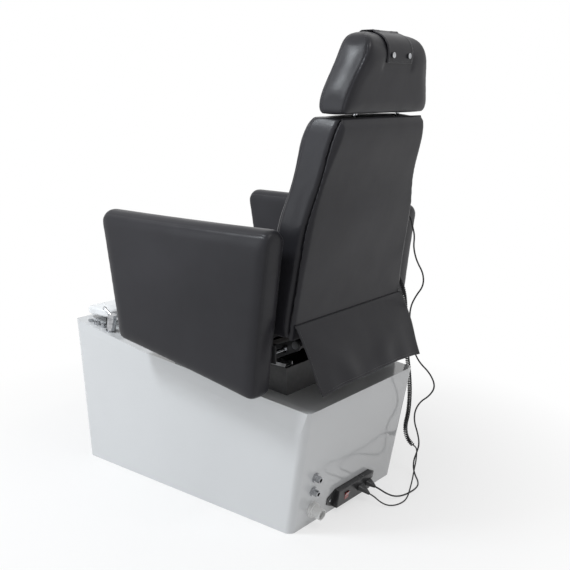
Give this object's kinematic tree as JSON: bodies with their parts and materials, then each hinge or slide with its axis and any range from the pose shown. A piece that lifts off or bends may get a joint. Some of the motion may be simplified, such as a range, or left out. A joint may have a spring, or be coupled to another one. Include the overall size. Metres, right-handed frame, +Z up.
{
  "type": "pedicure spa chair",
  "caption": "Black upholstered pedicure chair with wide flip-up armrests and a headrest, on a white glossy foot-bath base with rear plumbing and a power box.",
  "frame": {"origin": "middle of the base's underside, on the floor", "axes": "+X to the sitter's left, +Y from the feet to the rear, +Z up"},
  "size_m": [0.79, 1.1547, 1.484],
  "materials": {
    "shell": "gloss",
    "basin": "gloss",
    "plywood": "matte",
    "steel": "satin",
    "black_steel": "satin",
    "chrome": "polished",
    "white_plastic": "satin",
    "hose": "satin",
    "footrest": "gloss",
    "rubber": "matte",
    "black_plastic": "satin",
    "red_plastic": "gloss",
    "cord": "matte",
    "upholstery": "satin",
    "keys": "satin"
  },
  "bodies": {
    "base": {"base_shell": "shell", "base_plate": "plywood", "support_frame": "steel", "foot_basin": "basin", "basin_drain": "chrome", "drain_pipe": "white_plastic", "drain_outlet": "white_plastic", "water_inlets": "chrome", "supply_hoses": "hose", "jet_housing": "white_plastic", "jet_cover": "white_plastic", "faucet_body": "chrome", "footrest_hinges": "chrome", "footrest_stops": "rubber", "power_box": "black_plastic", "power_screws": "chrome", "power_sockets": "black_plastic", "cord_plugs": "black_plastic", "back_cord": "cord", "key_lead": "cord", "curly_cord": "cord", "plinth": "black_steel", "slide_rails": "steel"},
    "seat": {"seat_frame": "black_steel", "recline_pins": "steel", "seat_board": "plywood", "seat_cushion": "upholstery", "arm_pivots": "chrome"},
    "backrest": {"backrest_frame": "black_steel", "backrest_board": "plywood", "backrest_cushion": "upholstery", "backrest_rear_panel": "upholstery", "massage_motors": "black_plastic", "rear_flap": "upholstery", "back_gland": "black_plastic"},
    "headrest": {"headrest_posts": "chrome", "headrest_pad": "upholstery", "headrest_strap": "upholstery", "strap_studs": "chrome"},
    "armrest_left": {"arm_pad_left": "upholstery", "arm_bracket_left": "black_steel"},
    "armrest_right": {"arm_pad_right": "upholstery", "arm_bracket_right": "black_steel", "control_panel": "black_plastic", "arm_gland": "black_plastic"},
    "key_a": {"key_1": "keys"},
    "key_b": {"key_2": "keys"},
    "key_c": {"key_3": "keys"},
    "slide_release": {"slide_lever": "black_steel"},
    "actuator": {"actuator_body": "black_plastic"},
    "push_rod": {"actuator_rod": "steel"},
    "footrest_plate": {"footrest": "footrest"},
    "stopper": {"drain_stopper": "chrome"},
    "drain_control": {"drain_knob": "chrome"},
    "air_control": {"jet_air_knob": "chrome"},
    "jet_switch": {"jet_button": "chrome"},
    "mixer_lever": {"faucet_lever": "chrome"},
    "impeller": {"jet_impeller": "white_plastic"},
    "power_switch": {"power_rocker": "red_plastic"}
  },
  "joints": [
    {"name": "seat_slide", "type": "slide", "parent": "base", "child": "seat", "axis": [0, 1, 0], "range_m": [-0.055, 0.036]},
    {"name": "recline", "type": "hinge", "parent": "seat", "child": "backrest", "pos_m": [0, 0.465, 0.59], "axis": [-1, 0, 0], "range_deg": [0, 30]},
    {"name": "headrest_height", "type": "slide", "parent": "backrest", "child": "headrest", "axis": [0, 0.195, 0.9808], "range_m": [0, 0.055]},
    {"name": "armrest_left_flip", "type": "hinge", "parent": "seat", "child": "armrest_left", "pos_m": [0.325, 0.428, 0.573], "axis": [-1, 0, 0], "range_deg": [0, 80]},
    {"name": "armrest_right_flip", "type": "hinge", "parent": "seat", "child": "armrest_right", "pos_m": [-0.325, 0.428, 0.573], "axis": [-1, 0, 0], "range_deg": [0, 80]},
    {"name": "key_a_press", "type": "slide", "parent": "armrest_right", "child": "key_a", "axis": [-1, 0, 0], "range_m": [0, 0.0015], "stiffness_N_per_m": 300},
    {"name": "key_b_press", "type": "slide", "parent": "armrest_right", "child": "key_b", "axis": [-1, 0, 0], "range_m": [0, 0.0015], "stiffness_N_per_m": 300},
    {"name": "key_c_press", "type": "slide", "parent": "armrest_right", "child": "key_c", "axis": [-1, 0, 0], "range_m": [0, 0.0015], "stiffness_N_per_m": 300},
    {"name": "slide_lever_lift", "type": "hinge", "parent": "seat", "child": "slide_release", "pos_m": [0.218, -0.03, 0.522], "axis": [-1, 0, 0], "range_deg": [0, 12], "stiffness_Nm_per_rad": 0.4},
    {"name": "actuator_tilt", "type": "hinge", "parent": "seat", "child": "actuator", "pos_m": [0, 0.06, 0.5], "axis": [1, 0, 0], "range_deg": [0, 1.05]},
    {"name": "rod_slide", "type": "slide", "parent": "actuator", "child": "push_rod", "axis": [0, 0.9993, 0.0361], "range_m": [-0.0396, 0]},
    {"name": "footrest_flip", "type": "hinge", "parent": "base", "child": "footrest_plate", "pos_m": [0, -0.493, 0.526], "axis": [1, 0, 0], "range_deg": [0, 95]},
    {"name": "stopper_lift", "type": "slide", "parent": "base", "child": "stopper", "axis": [0, 0, 1], "range_m": [0, 0.01]},
    {"name": "drain_knob_turn", "type": "hinge", "parent": "base", "child": "drain_control", "pos_m": [0.264, -0.418, 0.50631], "axis": [0, 0.1563, 0.9877], "range_deg": [0, 90]},
    {"name": "air_knob_turn", "type": "hinge", "parent": "base", "child": "air_control", "pos_m": [0.264, -0.386, 0.50124], "axis": [0, 0.1563, 0.9877], "range_deg": [-120, 120]},
    {"name": "jet_button_press", "type": "slide", "parent": "base", "child": "jet_switch", "axis": [0, -0.1563, -0.9877], "range_m": [0, 0.003], "stiffness_N_per_m": 400},
    {"name": "faucet_lever_swing", "type": "hinge", "parent": "base", "child": "mixer_lever", "pos_m": [0.264, -0.343, 0.49444], "axis": [0, 0.1563, 0.9877], "range_deg": [-45, 45]},
    {"name": "impeller_spin", "type": "hinge", "parent": "base", "child": "impeller", "pos_m": [0, -0.41128, 0.30054], "axis": [0, 0.9942, 0.1073], "continuous": true},
    {"name": "rocker_tip", "type": "hinge", "parent": "base", "child": "power_switch", "pos_m": [0.026, 0.50669, 0.04344], "axis": [1, 0, 0], "range_deg": [0, 16]}
  ],
  "couplings": [
    {"joint": "actuator_tilt", "follows": "recline", "ratio": 0.025},
    {"joint": "rod_slide", "follows": "recline", "m_per_rad": -0.0737},
    {"joint": "drain_knob_turn", "follows": "stopper_lift", "rad_per_m": 156.25}
  ]
}
